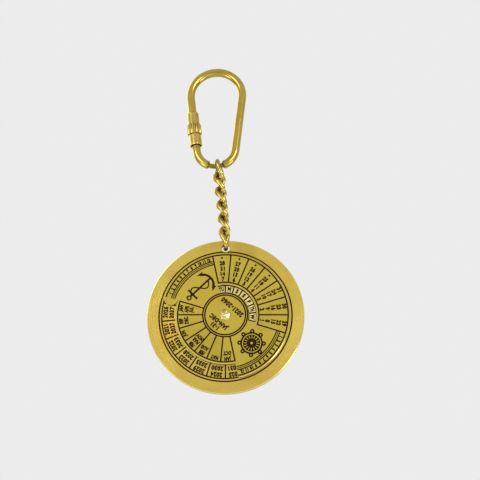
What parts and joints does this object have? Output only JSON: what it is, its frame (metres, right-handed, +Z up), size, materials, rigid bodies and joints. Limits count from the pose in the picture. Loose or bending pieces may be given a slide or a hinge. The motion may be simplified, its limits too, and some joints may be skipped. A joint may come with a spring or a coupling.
{
  "type": "perpetual calendar keyring",
  "caption": "Brass perpetual calendar keyring: a disc with a turning engraved dial, hung by a twisted-link chain from a loop hook with a knurled screw gate.",
  "frame": {"origin": "the inside of the hook's top bow, where the keyring hangs", "axes": "+Z up along the hanging keyring, -Y out of the dial's face, +X to the right of a person facing the dial"},
  "size_m": [0.045, 0.0048, 0.1013],
  "materials": {
    "hook_brass": "polished round wire with fine drawing lines",
    "gate_brass": "bright turned brass",
    "chain_brass": "polished wire, darker in the bends",
    "disc_brass": "satin lacquered sheet with dark engraved lines",
    "dial_brass": "satin lacquered sheet with dark engraved lines",
    "rivet_brass": "bright domed rivet"
  },
  "bodies": {
    "hook": {"hook_wire": "hook_brass", "stop_collar": "gate_brass"},
    "sleeve": {"gate_sleeve": "gate_brass"},
    "nut": {"knurled_nut": "gate_brass"},
    "link_1": {"chain_link_1": "chain_brass"},
    "link_2": {"chain_link_2": "chain_brass"},
    "link_3": {"chain_link_3": "chain_brass"},
    "link_4": {"chain_link_4": "chain_brass"},
    "link_5": {"chain_link_5": "chain_brass"},
    "link_6": {"chain_link_6": "chain_brass"},
    "disc": {"base_disc": "disc_brass", "friction_washer": "gate_brass", "pivot_rivet": "rivet_brass"},
    "dial": {"dial": "dial_brass"}
  },
  "joints": [
    {"name": "sleeve_slide", "type": "slide", "parent": "hook", "child": "sleeve", "axis": [-0.1143, 0, 0.9934], "range_m": [0, 0.0048]},
    {"name": "nut_turn", "type": "hinge", "parent": "sleeve", "child": "nut", "pos_m": [-0.00655, 0, -0.01886], "axis": [-0.1143, 0, 0.9934], "continuous": true},
    {"name": "link_1_swing", "type": "hinge", "parent": "hook", "child": "link_1", "pos_m": [0.00057, 0, -0.03002], "axis": [0.9954, 0, 0.0958], "range_deg": [-60, 60]},
    {"name": "link_2_swing", "type": "hinge", "parent": "link_1", "child": "link_2", "pos_m": [0.00097, 0, -0.03427], "axis": [-0.5709, 0.8192, -0.055], "range_deg": [-40, 40]},
    {"name": "link_3_swing", "type": "hinge", "parent": "link_2", "child": "link_3", "pos_m": [0.00126, 0, -0.0372], "axis": [0.7625, 0.6428, 0.0734], "range_deg": [-40, 40]},
    {"name": "link_4_swing", "type": "hinge", "parent": "link_3", "child": "link_4", "pos_m": [0.00181, 0, -0.04297], "axis": [-0.7039, 0.7071, -0.0678], "range_deg": [-40, 40]},
    {"name": "link_5_swing", "type": "hinge", "parent": "link_4", "child": "link_5", "pos_m": [0.0021, 0, -0.046], "axis": [0.6398, 0.766, 0.0616], "range_deg": [-40, 40]},
    {"name": "link_6_swing", "type": "hinge", "parent": "link_5", "child": "link_6", "pos_m": [0.00266, 0, -0.05177], "axis": [-0.8154, 0.5736, -0.0785], "range_deg": [-40, 40]},
    {"name": "disc_swing", "type": "hinge", "parent": "link_6", "child": "disc", "pos_m": [0.00308, 0, -0.05617], "axis": [0, 1, 0], "range_deg": [-20.5, 9.5]},
    {"name": "dial_turn", "type": "hinge", "parent": "disc", "child": "dial", "pos_m": [0.00308, 0, -0.07632], "axis": [0, -1, 0], "continuous": true}
  ],
  "couplings": [
    {"joint": "nut_turn", "follows": "sleeve_slide", "rad_per_m": 10472}
  ]
}
